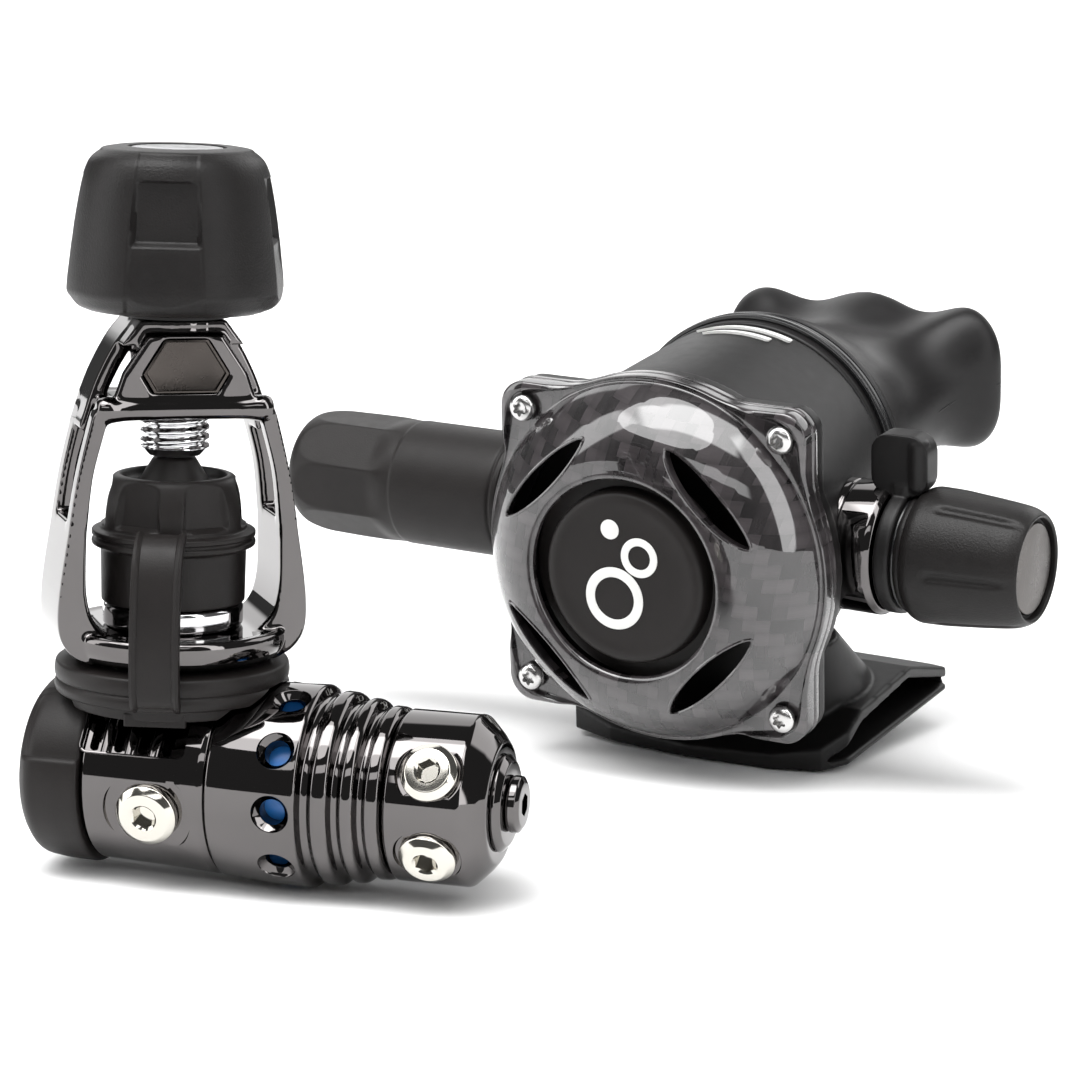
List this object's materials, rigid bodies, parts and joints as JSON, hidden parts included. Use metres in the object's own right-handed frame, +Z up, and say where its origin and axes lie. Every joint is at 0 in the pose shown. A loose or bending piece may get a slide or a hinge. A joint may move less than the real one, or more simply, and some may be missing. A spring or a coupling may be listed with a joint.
{
  "type": "scuba regulator set",
  "caption": "Scuba regulator set: piston first stage with yoke clamp, swivel turret and dust cap, beside a second stage with vented cover, knob, lever, mouthpiece and exhaust tee",
  "frame": {"origin": "middle of the set's footprint, on the floor", "axes": "+X along the first stage's barrel towards the turret, +Y from the first stage towards the second stage's mouthpiece, +Z up"},
  "size_m": [0.2001, 0.2695, 0.1527],
  "materials": {
    "smoke_chrome": "polished, dark vapour-deposited plating",
    "bright_chrome": "polished",
    "graphite_plating": "satin black plating",
    "stainless": "turned",
    "plated_brass": "satin nickel plate",
    "spring_steel": "bright wire",
    "black_rubber": "matt moulded",
    "grey_rubber": "semi-gloss moulded",
    "silicone": "satin silicone",
    "black_plastic": "glass-filled nylon",
    "gloss_black": "polished",
    "carbon_cover": "woven carbon under clear coat",
    "blue_plastic": "moulded acetal",
    "white_plastic": "moulded acetal",
    "silver_inlay": "satin printed",
    "filter_bronze": "sintered"
  },
  "bodies": {
    "first_stage": {"first_stage_body": "smoke_chrome", "body_protector": "black_rubber", "high_pressure_seat_retainer": "plated_brass", "high_pressure_seat": "white_plastic", "main_spring": "spring_steel", "insulating_bushing": "blue_plastic", "piston_cap": "smoke_chrome", "turret_bolt": "plated_brass", "high_pressure_port_plug": "smoke_chrome", "inlet_fitting": "bright_chrome", "inlet_filter": "filter_bronze", "filter_clip": "spring_steel", "yoke": "smoke_chrome", "yoke_badge": "graphite_plating", "dust_cap": "black_rubber", "dust_cap_strap": "black_rubber"},
    "piston": {"piston": "stainless"},
    "turret": {"swivel_turret": "smoke_chrome", "low_pressure_port_plugs": "smoke_chrome", "turret_end_fitting": "smoke_chrome", "end_port_plug": "smoke_chrome"},
    "screw_carrier": {"screw_washer": "black_plastic"},
    "yoke_knob": {"yoke_knob": "grey_rubber", "knob_emblem": "silver_inlay", "yoke_screw": "bright_chrome"},
    "second_stage": {"case": "black_plastic", "front_cover": "carbon_cover", "cover_screws": "stainless", "purge_spring": "spring_steel", "purge_guide": "black_plastic", "diaphragm": "silicone", "diaphragm_ring": "black_plastic", "valve_barrel": "plated_brass", "inlet_nipple": "plated_brass", "orifice_seat": "plated_brass", "poppet_spring": "spring_steel", "trim_collar": "graphite_plating", "exhaust_valve": "silicone", "exhaust_tee": "black_plastic", "mouthpiece": "silicone", "mouthpiece_clamp": "black_plastic"},
    "purge": {"purge_button": "grey_rubber", "purge_emblem": "silver_inlay"},
    "diaphragm_plate": {"diaphragm_plate": "stainless"},
    "demand_lever": {"demand_lever": "stainless"},
    "poppet": {"poppet": "white_plastic"},
    "adjust_knob": {"adjust_knob": "gloss_black", "adjust_knob_disc": "silver_inlay"},
    "adjuster": {"adjuster": "stainless"},
    "venturi": {"venturi_lever": "black_plastic", "air_vane": "black_plastic"},
    "hose_end": {"hose_swivel_nut": "plated_brass", "hose_stem": "plated_brass", "hose_sleeve": "black_rubber"}
  },
  "joints": [
    {"name": "yoke_screw_travel", "type": "slide", "parent": "first_stage", "child": "screw_carrier", "axis": [0, 0, 1], "range_m": [0, 0.016]},
    {"name": "yoke_knob_turn", "type": "hinge", "parent": "screw_carrier", "child": "yoke_knob", "pos_m": [-0.0693, -0.106, 0.1236], "axis": [0, 0, 1], "range_deg": [0, 2880]},
    {"name": "turret_swivel", "type": "hinge", "parent": "first_stage", "child": "turret", "pos_m": [-0.0176, -0.106, 0.0215], "axis": [1, 0, 0], "continuous": true},
    {"name": "piston_travel", "type": "slide", "parent": "first_stage", "child": "piston", "axis": [1, 0, 0], "range_m": [-0.0015, 0], "stiffness_N_per_m": 5000, "deforming": ["main_spring"]},
    {"name": "second_stage_lift", "type": "slide", "parent": "first_stage", "child": "second_stage", "axis": [0, 0, 1], "range_m": [0, 0.12]},
    {"name": "purge_press", "type": "slide", "parent": "second_stage", "child": "purge", "axis": [0.2618, 0.954, 0.1461], "range_m": [0, 0.004], "stiffness_N_per_m": 300, "springref_m": -0.002, "deforming": ["purge_spring"]},
    {"name": "diaphragm_flex", "type": "slide", "parent": "second_stage", "child": "diaphragm_plate", "axis": [0.2618, 0.954, 0.1461], "range_m": [0, 0.004]},
    {"name": "demand_lever_tilt", "type": "hinge", "parent": "second_stage", "child": "demand_lever", "pos_m": [0.00134, 0.02847, 0.05675], "axis": [-0.0216, -0.1455, 0.9891], "range_deg": [0, 13]},
    {"name": "poppet_travel", "type": "slide", "parent": "second_stage", "child": "poppet", "axis": [0.9649, -0.2621, -0.0175], "range_m": [0, 0.0008]},
    {"name": "adjust_knob_turn", "type": "hinge", "parent": "second_stage", "child": "adjust_knob", "pos_m": [0.06752, 0.02177, 0.05721], "axis": [0.9649, -0.2621, -0.0175], "range_deg": [-900, 0]},
    {"name": "adjuster_travel", "type": "slide", "parent": "second_stage", "child": "adjuster", "axis": [0.9649, -0.2621, -0.0175], "range_m": [-0.0025, 0], "deforming": ["poppet_spring"]},
    {"name": "venturi_lever_turn", "type": "hinge", "parent": "second_stage", "child": "venturi", "pos_m": [0.0624, 0.02316, 0.0573], "axis": [0.9649, -0.2621, -0.0175], "range_deg": [-45, 0]},
    {"name": "hose_swivel", "type": "hinge", "parent": "second_stage", "child": "hose_end", "pos_m": [-0.04209, 0.05155, 0.05919], "axis": [0.9649, -0.2621, -0.0175], "continuous": true}
  ],
  "couplings": [
    {"joint": "yoke_screw_travel", "follows": "yoke_knob_turn", "m_per_rad": 0.00031831},
    {"joint": "diaphragm_flex", "follows": "purge_press", "ratio": 1},
    {"joint": "demand_lever_tilt", "follows": "purge_press", "rad_per_m": 55},
    {"joint": "poppet_travel", "follows": "purge_press", "ratio": 0.2},
    {"joint": "adjuster_travel", "follows": "adjust_knob_turn", "m_per_rad": 0.00015915}
  ]
}
